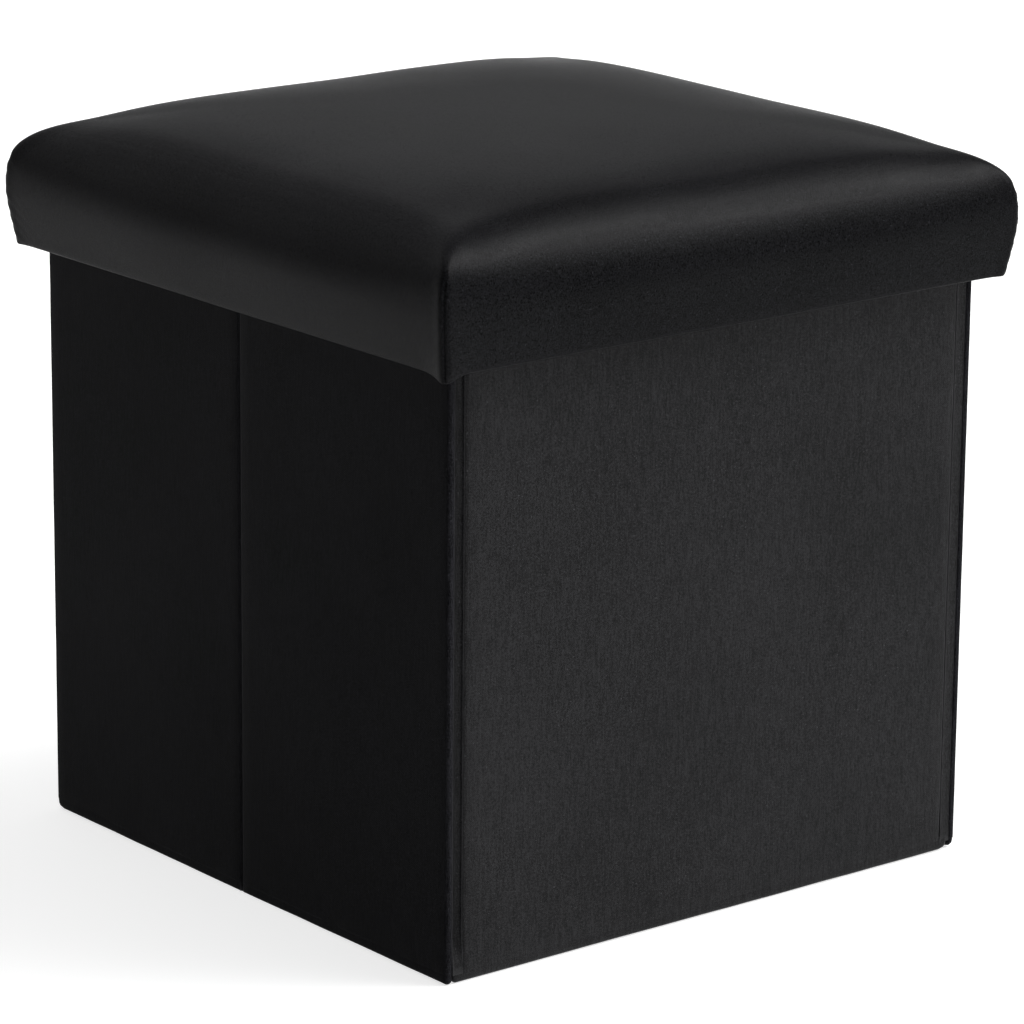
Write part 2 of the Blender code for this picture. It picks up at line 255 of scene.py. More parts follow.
def cloth_material(name, dark, light, roughness, sheen, ior=1.2, pitch=0.55 * MM, upright=90.0,
                   worn_and_lit_edge=None, painted_facing_light=None, relief=0.6):
    """Woven cloth: slubby threads, a fine grain with painted glints, faint patches and lighter edges that
    are partly wear and partly a painted highlight. Its low index of refraction stands for the light that the
    loose weave swallows. Its colour is scaled by which way each face points along each axis, as painted
    light and shade, and relief is how strongly the grain stands up."""
    s = Shader(name)
    patches = s.noise(9.0, 3.0, 0.55)
    streaks = s.noise(1.0, 4.0, 0.6, stretch=(900.0, 900.0, upright))
    grain = s.noise(1400.0, 2.0, 0.8)
    weave = weave_height(s, pitch)
    tone = s.mix([(patches, 0.12), (streaks, 0.26), (grain, 0.62)])
    colour = s.ramp(tone, [(0.435, dark), (0.575, light)])
    # Painted glints: rare flecks are brightened in the base colour, standing in for fibres that catch the
    # light
    glint = s.ramp(s.noise(1000.0, 1.0, 0.5), [(0.69, (0, 0, 0)), (0.77, (1, 1, 1))])
    bright = tuple(min(1.0, 2.6 * c) for c in light)
    colour = s.blend(glint, colour, (*bright, 1.0))
    # Painted light and shade: the colour is scaled by how far each face points along each axis, so faces
    # turned towards the light are painted lighter
    if painted_facing_light:
        facing = s.node("ShaderNodeVectorMath", operation="MULTIPLY")
        normal = s.node("ShaderNodeTexCoord").outputs["Normal"]
        s.link(normal, facing.inputs[0])
        s.link(normal, facing.inputs[1])
        strength = s.node("ShaderNodeVectorMath", operation="DOT_PRODUCT")
        s.link(facing.outputs[0], strength.inputs[0])
        strength.inputs[1].default_value = painted_facing_light
        lighter = s.node("ShaderNodeVectorMath", operation="SCALE")
        s.link(colour, lighter.inputs[0])
        s.link(strength.outputs["Value"], lighter.inputs["Scale"])
        colour = lighter.outputs[0]
    # Lighter proud edges: partly wear, partly a painted highlight where the rounded edges catch the light
    if worn_and_lit_edge:
        colour = s.blend(s.math("MULTIPLY", edge_wear_and_highlight(s), 0.6), colour, (*worn_and_lit_edge, 1.0))
    s.link(colour, s.bsdf.inputs["Base Color"])
    s.link(s.math("ADD", s.math("MULTIPLY", grain, 0.20), roughness - 0.10), s.bsdf.inputs["Roughness"])
    s.bsdf.inputs["Sheen Weight"].default_value = sheen
    s.bsdf.inputs["Sheen Roughness"].default_value = 0.40
    s.bsdf.inputs["Sheen Tint"].default_value = (0.86, 0.88, 1.0, 1.0)
    s.bsdf.inputs["IOR"].default_value = ior
    normal = s.bump(streaks, 0.10 * MM, 0.5)
    normal = s.bump(grain, 0.12 * MM, relief, normal)
    s.link(s.bump(weave, 0.05 * MM, 0.6, normal), s.bsdf.inputs["Normal"])
    return s.material


def board_material(name):
    """Pressed fibre board: long pale fibres and darker flecks."""
    s = Shader(name)
    fibres = s.noise(1.0, 4.0, 0.6, stretch=(700.0, 700.0, 160.0))
    flecks = s.noise(420.0, 3.0, 0.6)
    tones = [(0.35, (0.20, 0.14, 0.085)), (0.65, (0.36, 0.27, 0.18))]
    s.link(s.ramp(s.mix([(fibres, 0.5), (flecks, 0.5)]), tones), s.bsdf.inputs["Base Color"])
    s.link(s.math("ADD", s.math("MULTIPLY", flecks, 0.2), 0.68), s.bsdf.inputs["Roughness"])
    s.link(s.bump(fibres, 0.15 * MM, 0.6), s.bsdf.inputs["Normal"])
    return s.material


def thread_material(name):
    """Twisted sewing thread."""
    s = Shader(name)
    twist = s.noise(1.0, 2.0, 0.5, stretch=(2600.0, 2600.0, 2600.0))
    s.link(s.ramp(twist, [(0.35, (0.012, 0.012, 0.013)), (0.65, (0.040, 0.040, 0.043))]),
           s.bsdf.inputs["Base Color"])
    s.bsdf.inputs["Roughness"].default_value = 0.45
    s.bsdf.inputs["Sheen Weight"].default_value = 0.15
    s.link(s.bump(twist, 0.05 * MM, 0.6), s.bsdf.inputs["Normal"])
    return s.material


# One fabric covers the walls and the lid. These copies of it differ in colour, index of refraction and
# facing scale as painted light and shade: the front copy is painted lit, the side copy is painted dark on
# its sides and lighter on faces turned to the front and back, and the lid copy is painted lighter on its top
# and on its front and back faces
FRONT_CLOTH_LIT = cloth_material(
    "front_cloth_lit", dark=(0.0010, 0.0010, 0.0012), light=(0.0182, 0.0182, 0.0196), roughness=0.45,
    sheen=0.02, ior=1.20, worn_and_lit_edge=(0.026, 0.026, 0.028))
SIDE_CLOTH_SHADED = cloth_material(
    "side_cloth_shaded", dark=(0.0006, 0.0006, 0.0007), light=(0.0046, 0.0046, 0.0053), roughness=0.48,
    sheen=0.01, ior=1.07, worn_and_lit_edge=(0.012, 0.012, 0.014), painted_facing_light=(1.0, 4.5, 1.0))
LID_CLOTH = cloth_material(
    "lid_cloth", dark=(0.0003, 0.0003, 0.0004), light=(0.0040, 0.0040, 0.0045), roughness=0.30,
    sheen=0.01, ior=1.11, upright=700.0, painted_facing_light=(1.0, 2.6, 2.6), relief=1.0)
TAPE = cloth_material(
    "binding_tape", dark=(0.008, 0.008, 0.009), light=(0.018, 0.018, 0.020), roughness=0.55,
    sheen=0.08, ior=1.3, pitch=0.9 * MM, upright=900.0)
LINING = cloth_material(
    "lining_cloth", dark=(0.012, 0.012, 0.013), light=(0.026, 0.026, 0.028), roughness=0.80,
    sheen=0.05, ior=1.3, pitch=1.3 * MM, upright=900.0)
BOARD = board_material("fibre_board")
THREAD = thread_material("thread")
CLOTH_OF = {wall: FRONT_CLOTH_LIT if wall.endswith("_wall") else SIDE_CLOTH_SHADED for wall in WALLS}

for node_name, node_object in NODES.items():
    if node_name.endswith("_board") or node_name.startswith("lid_rim") or node_name == "base_panel":
        chosen = BOARD
    elif "lining" in node_name or node_name in ("base_cover", "bottom_cloth", "base_hinge_tape"):
        chosen = LINING
    else:
        chosen = SIDE_CLOTH_SHADED
    node_object.data.materials.clear()
    node_object.data.materials.append(chosen)


# ---- shapes -------------------------------------------------------------
def new_piece(name, bm, material):
    mesh = bpy.data.meshes.new(name)
    bm.to_mesh(mesh)
    bm.free()
    mesh.shade_smooth()
    mesh.materials.append(material)
    piece = bpy.data.objects.new(name, mesh)
    bpy.context.scene.collection.objects.link(piece)
    return piece


def apply_modifiers(piece):
    graph = bpy.context.evaluated_depsgraph_get()
    graph.update()
    mesh = bpy.data.meshes.new_from_object(piece.evaluated_get(graph))
    piece.modifiers.clear()
    piece.data = mesh
    return piece


def thicken(piece, thickness, offset=-1.0, even=True):
    shell = piece.modifiers.new("thickness", "SOLIDIFY")
    shell.thickness = thickness
    shell.offset = offset
    shell.use_even_offset = even
    return apply_modifiers(piece)


def wave(x, y, z, scale, seed):
    """Smooth noise from -1 to 1."""
    return noise.noise(Vector((x * scale + seed, y * scale - seed, z * scale + 0.5 * seed)))


def ease(low, high, value):
    t = min(1.0, max(0.0, (value - low) / (high - low)))
    return t * t * (3 - 2 * t)


ROUND_TURNS = [math.tan(math.radians(a)) for a in (45.0, 22.5)]


def spaced(low, high, radius, step, far_radius=None):
    """Coordinates from low to high: close together at both rounded ends, and a step apart between."""
    far_radius = far_radius or radius
    near = [low + radius * (1 - t) for t in ROUND_TURNS]
    far = [high - far_radius * (1 - t) for t in reversed(ROUND_TURNS)]
    inner = high - far_radius - low - radius
    count = max(1, round(inner / step))
    return near + [low + radius + inner * i / count for i in range(count + 1)] + far


def block_grid(xs, ys, zs):
    """The closed surface of a block, cut into a grid at the given coordinates."""
    bm = bmesh.new()
    grid = (xs, ys, zs)
    made = {}

    def corner(place):
        key = tuple(place)
        if key not in made:
            made[key] = bm.verts.new([grid[n][place[n]] for n in range(3)])
        return made[key]

    for axis in range(3):
        a, b = (n for n in range(3) if n != axis)
        for side in (0, len(grid[axis]) - 1):
            for i in range(len(grid[a]) - 1):
                for j in range(len(grid[b]) - 1):
                    ring = []
                    for di, dj in ((0, 0), (1, 0), (1, 1), (0, 1)):
                        place = [side] * 3
                        place[a] = i + di
                        place[b] = j + dj
                        ring.append(corner(place))
                    bm.faces.new(ring)
    bmesh.ops.recalc_face_normals(bm, faces=bm.faces)
    return bm


def rounded(point, low, high, radius):
    """Moves a point of a block's surface onto edges rounded to a radius."""
    inside = Vector([min(max(point[n], low[n] + radius), high[n] - radius) for n in range(3)])
    out = point - inside
    if out.length < TINY:
        return point
    return inside + out * (radius / out.length)


def soft_block(low, high, radius, step, far_radius=None):
    """A block with rounded edges. far_radius is the radius at its high x end."""
    far_radius = far_radius or radius
    bm = block_grid(spaced(low[0], high[0], radius, step, far_radius),
                    spaced(low[1], high[1], radius, step),
                    spaced(low[2], high[2], radius, step))
    for vert in bm.verts:
        share = (vert.co.x - low[0]) / (high[0] - low[0])
        vert.co = rounded(vert.co, low, high, radius + (far_radius - radius) * share)
    return bm


class WallFrame:
    """Where a wall panel lies: its length, depth and height axes, and its outer side.
    s runs along the wall, and for a half panel towards the middle fold. d is the depth in from the
    outer face."""

    def __init__(self, name):
        low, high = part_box(name + "_hem")
        self.name = name
        self.foot = low.z
        self.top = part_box(name + "_binding")[1].z
        self.hem_top = high.z
        self.centre = (low + high) / 2
        size = high - low
        self.along_x = size.x > size.y
        self.length = max(size.x, size.y)
        self.half = self.length / 2
        self.depth = min(size.x, size.y)
        self.outward = math.copysign(1.0, self.centre.y if self.along_x else self.centre.x)
        self.forward = 1.0 if self.along_x else -math.copysign(1.0, self.centre.y)
        self.fold_round = EDGE_ROUND if self.along_x else FOLD_ROUND
        self.seed = 3.0 + 7.0 * WALLS.index(name)

    def place(self, s, d, z):
        across = self.outward * (self.depth / 2 - d)
        if self.along_x:
            return Vector((self.centre.x + s, self.centre.y + across, z))
        return Vector((self.centre.x + across, self.centre.y + self.forward * s, z))

    def put(self, bm):
        """Moves a shape drawn in s, d and z onto the wall, with its faces still turned outward."""
        for vert in bm.verts:
            vert.co = self.place(*vert.co)
        origin = self.place(0, 0, 0)
        along, inward, up = (self.place(*unit) - origin for unit in ((1, 0, 0), (0, 1, 0), (0, 0, 1)))
        if along.cross(inward).dot(up) < 0:
            bmesh.ops.reverse_faces(bm, faces=bm.faces)


def round_foot(s, z, half, foot, radius):
    """Rounds the two lower corners of a wall, seen square on."""
    reach_s = abs(s) - (half - radius)
    reach_z = (foot + radius) - z
    if reach_s <= 0 or reach_z <= 0:
        return s, z
    pull = max(reach_s, reach_z) / math.hypot(reach_s, reach_z)
    return math.copysign(half - radius + reach_s * pull, s), foot + radius - reach_z * pull


def wall_cover(wall):
    """Cloth wrapped round a wall's board, open on the inner face where the lining lies."""
    w = WallFrame(wall)
    foot = w.hem_top - COVER_FOOT
    bm = soft_block((-w.half, 0.0, foot), (w.half, w.depth, w.top - COVER_FOOT), EDGE_ROUND, WALL_CELL,
                    w.fold_round)
    window = [f for f in bm.faces if f.normal.y > 0.99
              and abs(f.calc_center_median().x) < w.half - FLANGE
              and foot + FLANGE < f.calc_center_median().z < w.top - FLANGE]
    bmesh.ops.delete(bm, geom=window, context="FACES")
    for vert in bm.verts:
        s, d, z = vert.co
        if d < w.depth / 2:
            free = ease(0.0, COVER_FREE, min(w.half - abs(s), z - foot, w.top - z))
            slack = wave(s, 0.0, z, 9.0, w.seed) + 0.45 * wave(s, 0.0, z, 26.0, w.seed)
            vert.co.y -= free * (COVER_SLACK + COVER_WAVE * slack)
            vert.co.y -= (1 - free) * COVER_EDGE_WAVE * wave(s, 0.0, z, 60.0, w.seed)
    w.put(bm)
    piece = new_piece(wall + "_cover", bm, CLOTH_OF[wall])
    thicken(piece, COVER_SHEET)
    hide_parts(wall + "_skin")
    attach(piece, wall)


def wall_hem(wall):
    """The soft folded hem that a wall stands on."""
    w = WallFrame(wall)
    top = w.hem_top + HEM_TUCK
    reach = w.half - HEM_INSET + (HEM_BRIDGE if w.along_x else 0.0)
    bm = soft_block((-reach, HEM_INSET, w.foot), (reach, w.depth - HEM_INSET, top),
                    EDGE_ROUND, 4 * MM, w.fold_round)
    for vert in bm.verts:
        s, d, z = vert.co
        open_end = s * w.outward < 0 if w.along_x else s < 0 and w.centre.x * w.centre.y < 0
        s, z = round_foot(s, z, reach, w.foot, CORNER_ROUND if open_end else NEAR_ROUND)
        low = 1 - ease(w.foot, w.foot + 3 * MM, z)
        z += low * HEM_WAVE * (0.5 + 0.5 * wave(s, 0.0, 0.0, 45.0, w.seed))
        vert.co = (s, d, z)
    w.put(bm)
    piece = new_piece(wall + "_hem_roll", bm, CLOTH_OF[wall])
    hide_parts(wall + "_hem")
    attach(piece, wall)
    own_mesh(piece)


def stitches(name, pairs, body):
    """Short thread stitches lying on a surface, one between each pair of points, facing outward."""
    bm = bmesh.new()
    for start, end, outward in pairs:
        along = (end - start).normalized()
        side = along.cross(outward).normalized()
        turn = Matrix((along, side, outward)).transposed().to_4x4()
        size = Matrix.Diagonal(((end - start).length / 2, STITCH_WIDE, STITCH_FLAT * STITCH_WIDE, 1.0))
        place = Matrix.Translation((start + end) / 2) @ turn @ size
        bmesh.ops.create_icosphere(bm, subdivisions=1, radius=1.0, matrix=place)
    piece = new_piece(name, bm, THREAD)
    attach(piece, body)


def stitch_line(point_at, low, high):
    """Pairs of ends for stitches spaced evenly along a line."""
    count = int((high - low) / STITCH_PITCH)
    spare = (high - low - count * STITCH_PITCH) / 2
    for i in range(count):
        at = low + spare + (i + 0.5) * STITCH_PITCH
        yield point_at(at - STITCH_LONG / 2), point_at(at + STITCH_LONG / 2)


def wall_binding(wall):
    """The tape sewn over a wall's top edge, with a row of stitches on each face."""
    w = WallFrame(wall)
    foot = w.top - TAPE_TALL
    bm = soft_block((TAPE_SHORT - w.half, -TAPE_PROUD, foot),
                    (w.half - TAPE_SHORT, w.depth + TAPE_PROUD, w.top), TAPE_ROUND, 6 * MM, TAPE_FOLD_ROUND)
    for vert in bm.verts:
        if vert.co.z < foot + 2 * MM:
            vert.co.z += TAPE_WAVE * wave(vert.co.x, 0.0, 0.0, 55.0, w.seed)
    w.put(bm)
    piece = new_piece(wall + "_binding_tape", bm, TAPE)
    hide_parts(wall + "_binding")
    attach(piece, wall)
    out = (w.place(0, -1.0, 0) - w.place(0, 0, 0)).normalized()
    for word, depth, facing in (("outer", -TAPE_PROUD, out), ("inner", w.depth + TAPE_PROUD, -out)):
        ends = stitch_line(lambda s: w.place(s, depth, foot + TAPE_STITCH_UP),
                           2 * MM - w.half, w.half - 2 * MM)
        stitches(f"{wall}_stitches_{word}", [(a, b, facing) for a, b in ends], wall)


def wall_lining(wall):
    """The inner non-woven cloth, glued to the board and slightly slack."""
    w = WallFrame(wall)
    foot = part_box(wall + "_lining")[0].z
    top = w.top - 4 * MM
    length = w.length - 3 * MM
    bm = bmesh.new()
    bmesh.ops.create_grid(bm, x_segments=int(length / WALL_CELL), y_segments=int((top - foot) / WALL_CELL),
                          size=0.5)
    for vert in bm.verts:
        s = vert.co.x * length
        z = (vert.co.y + 0.5) * (top - foot) + foot
        free = ease(0.0, 20 * MM, min(length / 2 - abs(s), top - z, z - foot))
        slack = 0.5 + 0.5 * wave(s, 0.0, z, 14.0, w.seed + 26.0)
        vert.co = w.place(s, w.depth + LINING_PROUD + free * LINING_WAVE * slack, z)
    inward = w.place(0, 1.0, 0) - w.place(0, 0, 0)
    bm.normal_update()
    bm.faces.ensure_lookup_table()
    if bm.faces[0].normal.dot(inward) < 0:
        bmesh.ops.reverse_faces(bm, faces=bm.faces)
    piece = new_piece(wall + "_lining_sheet", bm, LINING)
    thicken(piece, LINING_SHEET)
    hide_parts(wall + "_lining")
    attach(piece, wall)


def ribbon(name, plan, low_z, high_z, thickness, material, seed, sway=0.15 * MM):
    """An upright strip of cloth that follows a line in plan, given for each height."""
    bm = bmesh.new()
    rows = max(2, int((high_z - low_z) / (4 * MM)))
    previous = None
    for i in range(rows + 1):
        z = low_z + (high_z - low_z) * i / rows
        row = []
        for x, y in plan(z):
            shift = sway * wave(x, y, z, 40.0, seed)
            row.append(bm.verts.new((x + shift, y + shift, z)))
        if previous:
            for j in range(len(row) - 1):
                bm.faces.new((previous[j], previous[j + 1], row[j + 1], row[j]))
        previous = row
    bmesh.ops.recalc_face_normals(bm, faces=bm.faces)
    piece = new_piece(name, bm, material)
    return thicken(piece, thickness, 0.0)


# ---- the pieces of cloth that join the walls ----------------------------
def channel_plan(side_x, side_y, depth, part, z):
    """The valley of cloth between a side wall's end and the end of a front or back wall, in plan.
    part is whole, wall for the half by the front or back wall, or panel for the half by the side wall.
    The valley fades out towards the floor."""
    fade = ease(*CHANNEL_FADE, z)
    outer = CHANNEL_FACE - min(CHANNEL_SET_BACK, depth) * fade
    depth = CHANNEL_SHALLOW + (depth - CHANNEL_SHALLOW) * fade
    middle_x, radius = (PANEL_END_X + WALL_END_X) / 2, (PANEL_END_X - WALL_END_X) / 2
    line = []
    for i in range(CHANNEL_STEPS + 1):
        turn = math.pi * i / CHANNEL_STEPS
        line.append((middle_x + radius * math.cos(turn), outer - depth * math.sin(turn) ** 0.8))
    middle = len(line) // 2
    chosen = {"whole": line, "panel": line[:middle + 1], "wall": line[middle:]}[part]
    return [(side_x * x, side_y * y) for x, y in chosen]


def corner_channels():
    """Four cloth channels. The back right one is sewn from two halves that part
    when the walls fold, because that corner is where the loop of walls is open."""
    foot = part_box("front_wall_lining")[0].z
    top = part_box("front_left_corner_strip")[1].z
    bends = (("front_left", -1, -1, 2.9 * MM, "front_wall", "left_front_panel"),
             ("front_right", 1, -1, 0.35 * MM, "front_wall", "right_front_panel"),
             ("back_left", -1, 1, BACK_CHANNEL, "back_wall", "left_back_panel"))
    for index, (corner, side_x, side_y, depth, wall, panel) in enumerate(bends):
        piece = ribbon(corner + "_channel", lambda z: channel_plan(side_x, side_y, depth, "whole", z),
                       foot, top, CHANNEL_SHEET, FRONT_CLOTH_LIT, 40.0 + index)
        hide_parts(corner + "_corner_strip")
        first, last = (wall, panel) if wall == "front_wall" else (panel, wall)
        ends = [(side_x * x * MM, 0, 0) for x in (162.5, 168.5)]
        if first == panel:
            ends.reverse()
        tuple(ends[0])
        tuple(ends[1])
        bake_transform(piece)
    for part, body in (("wall", "back_wall"), ("panel", "right_back_panel")):
        piece = ribbon(f"back_right_channel_{part}", lambda z: channel_plan(1, 1, BACK_CHANNEL, part, z),
                       foot, top, CHANNEL_SHEET, FRONT_CLOTH_LIT, 44.0)
        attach(piece, body)
        if part == "wall":
            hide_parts("back_right_corner_strip")


def middle_folds():
    """The outer cloth bridging the two halves of each side wall in a shallow groove."""
    for side, first, last, sign in (("left", "left_front_panel", "left_back_panel", -1),
                                    ("right", "right_front_panel", "right_back_panel", 1)):
        low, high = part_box(side + "_fold_strip")
        line = [(-y, x) for y, x in FOLD_SECTION[:-1]] + FOLD_SECTION[::-1]
        plan = [(sign * x * MM, y * MM) for y, x in line]
        piece = ribbon(side + "_fold_bridge", lambda z: plan, low.z, high.z,
                       BRIDGE_SHEET, SIDE_CLOTH_SHADED, 50.0 + sign, 0.05 * MM)
        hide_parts(side + "_fold_strip")
        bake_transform(piece)


# ---- the base -----------------------------------------------------------
def base():
    low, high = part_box("base_cover")
    bm = soft_block(low, high, 1.2 * MM, 8 * MM)
    for vert in bm.verts:
        x, y, z = vert.co
        edge = min(high.x - abs(x), y - low.y, high.y - y)
        if z > (low.z + high.z) / 2:
            vert.co.z -= ease(0.0, 15 * MM, edge) * 0.2 * MM * (0.5 + 0.5 * wave(x, y, 0.0, 11.0, 61.0))
    cover = new_piece("base_cloth", bm, LINING)
    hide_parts("base_cover")
    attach(cover, "base_board")
    inset = 6 * MM
    rows = []
    for sign in (-1, 1):
        rows += stitch_line(lambda s: Vector((sign * (high.x - inset), s, high.z)),
                            low.y + inset, high.y - inset)
    for y in (low.y + inset, high.y - inset):
        rows += stitch_line(lambda s: Vector((s, y, high.z)), low.x + inset, high.x - inset)
    stitches("base_stitches", [(a, b, Vector((0, 0, 1))) for a, b in rows], "base_board")

    tape_low, tape_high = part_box("base_hinge_tape")
    hinge_z = high.z + 0.1 * MM
    upright = tape_high.z - hinge_z - 0.6 * MM
    profile = [(tape_low.y + 0.1 * MM, tape_high.z - i * upright / 4) for i in range(5)]
    profile += [(tape_low.y - 0.1 * MM, hinge_z + 0.2 * MM), (tape_low.y - 0.6 * MM, hinge_z)]
    profile += [(tape_low.y - 0.6 * MM - i * 3 * MM, hinge_z) for i in range(1, 5)]
    bm = bmesh.new()
    columns = 60
    rows = []
    for i in range(columns + 1):
        x = tape_low.x + (tape_high.x - tape_low.x) * i / columns
        rows.append([bm.verts.new((x, y, z)) for y, z in profile])
    for a, b in zip(rows, rows[1:]):
        for j in range(len(profile) - 1):
            bm.faces.new((a[j], a[j + 1], b[j + 1], b[j]))
    bmesh.ops.recalc_face_normals(bm, faces=bm.faces)
    tape = thicken(new_piece("base_hinge_cloth", bm, TAPE), 0.3 * MM, 0.0)
    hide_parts("base_hinge_tape")
    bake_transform(tape)


def bottom():
    """The thin cloth sewn between the walls' hems, under the base board."""
    low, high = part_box("bottom_cloth")
    size = high.x - low.x
    bm = bmesh.new()
    bmesh.ops.create_grid(bm, x_segments=42, y_segments=42, size=size / 2)
    for vert in bm.verts:
        vert.co.z = high.z - 0.1 * MM + 0.12 * MM * wave(vert.co.x, vert.co.y, 0.0, 16.0, 71.0)
    piece = thicken(new_piece("bottom_sheet", bm, LINING), 0.3 * MM)
    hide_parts("bottom_cloth")
    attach(piece, "front_wall")
    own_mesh(piece)


# ---- the lid ------------------------------------------------------------
def contour(u, v, half, radius):
    """The point of a round-cornered square that lies in direction u, v."""
    ring = max(abs(u), abs(v))
    x, y = abs(u) * half, abs(v) * half
    over_x, over_y = x - (half * ring - radius), y - (half * ring - radius)
    if over_x > 0 and over_y > 0:
        reach = radius / math.hypot(over_x, over_y)
        x += over_x * (reach - 1)
        y += over_y * (reach - 1)
    return math.copysign(x, u), math.copysign(y, v)


def ring_sheet(rings, rows, half, radius, height_at):
    """A grid whose inner rings lie on top, and whose outer rings follow rows of (half, z, corner radius)."""
    total = rings + len(rows)
    bm = bmesh.new()
    bmesh.ops.create_grid(bm, x_segments=2 * total, y_segments=2 * total, size=total)
    row_layer = bm.verts.layers.int.new("row")
    for vert in bm.verts:
        column, line = round(vert.co.x), round(vert.co.y)
        ring = max(abs(column), abs(line))
        reach = max(ring, rings)
        u = math.sin(math.pi / 2 * column / reach)
        v = math.sin(math.pi / 2 * line / reach)
        if ring <= rings:
            x, y = contour(u, v, half, radius * max(abs(u), abs(v)) ** 2)
            vert.co = (x, y, height_at(u, v))
        else:
            row_half, z, corner = rows[ring - rings - 1]
            x, y = contour(u, v, row_half, corner)
            vert.co = (x, y, z)
        vert[row_layer] = ring - rings
    bm.normal_update()
    return bm


def crowned(u, v, bulge_z, crown, half):
    """Height of the padded top: a rounded edge, a little lower and fuller at the corners, and a crown."""
    share = LID_ROLL_WIDTH / half
    out = max(0.0, (max(abs(u), abs(v)) - (1 - share)) / share)
    corner = math.exp(-half * (1 - min(abs(u), abs(v))) / LID_CORNER_SPAN)
    roll = LID_ROLL_HEIGHT - LID_CORNER_DROP * corner
    power = 2 + LID_CORNER_FULL * corner
    swell = max(0.0, (1 - abs(u) ** 3.26) * (1 - abs(v) ** 3.26))
    return bulge_z + roll * max(0.0, 1 - out ** power) ** (1 / power) + crown * swell ** 0.8


def inflate(piece, pinned):
    """Swells a sheet with Blender's cloth, and keeps the movement of each point, capped and smoothed."""
    scene = bpy.context.scene
    group = piece.vertex_groups.new(name="pin")
    for index, weight in pinned.items():
        group.add([index], weight, "REPLACE")
    cloth = piece.modifiers.new("cloth", "CLOTH")
    settings = cloth.settings
    settings.quality = 6
    settings.mass = 0.3
    settings.tension_stiffness = 40.0
    settings.compression_stiffness = 40.0
    settings.shear_stiffness = 15.0
    settings.bending_stiffness = 2.0
    settings.use_pressure = True
    settings.uniform_pressure_force = 2.0
    settings.vertex_group_mass = "pin"
    settings.effector_weights.gravity = 0.0
    cloth.collision_settings.use_collision = False
    cloth.point_cache.frame_start = 1
    cloth.point_cache.frame_end = SIMULATION_FRAMES
    for step in range(1, SIMULATION_FRAMES + 1):
        scene.frame_set(step)
    graph = bpy.context.evaluated_depsgraph_get()
    moved = [v.co.copy() for v in piece.evaluated_get(graph).to_mesh().vertices]
    piece.evaluated_get(graph).to_mesh_clear()
    piece.modifiers.clear()
    piece.vertex_groups.clear()
    scene.frame_set(1)
    return moved


def lid_shell():
    low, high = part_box("lid_cover")
    half = high.x
    rim_z = low.z
    bulge_z = rim_z + BULGE_ABOVE_RIM
    crown = LID_CROWN - ((LID_SWELL * 0.75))
    rows = []
    skirt = 7
    for i in range(1, skirt + 1):
        t = i / skirt
        rows.append((half - RIM_NARROWER * t ** 1.3, bulge_z - BULGE_ABOVE_RIM * t,
                     BULGE_CORNER + (RIM_CORNER - BULGE_CORNER) * t))
    rim_half = half - RIM_NARROWER
    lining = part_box("lid_lining")[1].x
    turn_half = lining - 0.9 * MM
    rows += [(rim_half - 0.4 * MM, rim_z - 0.5 * MM, RIM_CORNER),
             (rim_half - 1.5 * MM, rim_z - 0.7 * MM, RIM_CORNER - 0.5 * MM),
             (turn_half + 1.2 * MM, rim_z - 0.5 * MM, RIM_CORNER - 0.5 * MM),
             (turn_half + 0.2 * MM, rim_z + 0.4 * MM, RIM_CORNER - 0.5 * MM),
             (turn_half, rim_z + 2 * MM, RIM_CORNER - 0.5 * MM),
             (turn_half, rim_z + 7 * MM, RIM_CORNER - 0.5 * MM),
             (turn_half + 0.1 * MM, rim_z + 12 * MM, RIM_CORNER - 0.5 * MM)]
    bm = ring_sheet(LID_RINGS, rows, half, BULGE_CORNER, lambda u, v: crowned(u, v, bulge_z, crown, half))
    row_of = [v[bm.verts.layers.int["row"]] for v in bm.verts]
    piece = new_piece("lid_cushion", bm, LID_CLOTH)
    pinned = {i: ease(0.0, 3.0, row) for i, row in enumerate(row_of) if row > 0}
    moved = inflate(piece, pinned)
    mesh = piece.data
    shift = []
    for vert, place in zip(mesh.vertices, moved):
        step = place - vert.co
        length = step.length
        if length > TINY:
            step *= LID_SWELL * math.tanh(length / LID_SWELL) / length
        held = ease(8 * MM, 110 * MM, 2 * half - abs(vert.co.x) - abs(vert.co.y))
        step.x *= LID_PULL_IN
        step.y *= LID_PULL_IN
        shift.append(step * held)
    links = [[] for _ in mesh.vertices]
    for edge in mesh.edges:
        a, b = edge.vertices
        links[a].append(b)
        links[b].append(a)
    for _ in range(12):
        shift = [(shift[i] + sum((shift[j] for j in near), Vector())) / (1 + len(near))
                 if row_of[i] < 3 else Vector() for i, near in enumerate(links)]
    for vert, step in zip(mesh.vertices, shift):
        vert.co += step
    finer = piece.modifiers.new("finer", "SUBSURF")
    finer.levels = finer.render_levels = 1
    apply_modifiers(piece)
    shape_lid(piece.data, half, rim_z)
    thicken(piece, LID_SHEET, even=False)
    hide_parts("lid_cover", "lid_foam")
    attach(piece, "lid")
    return turn_half


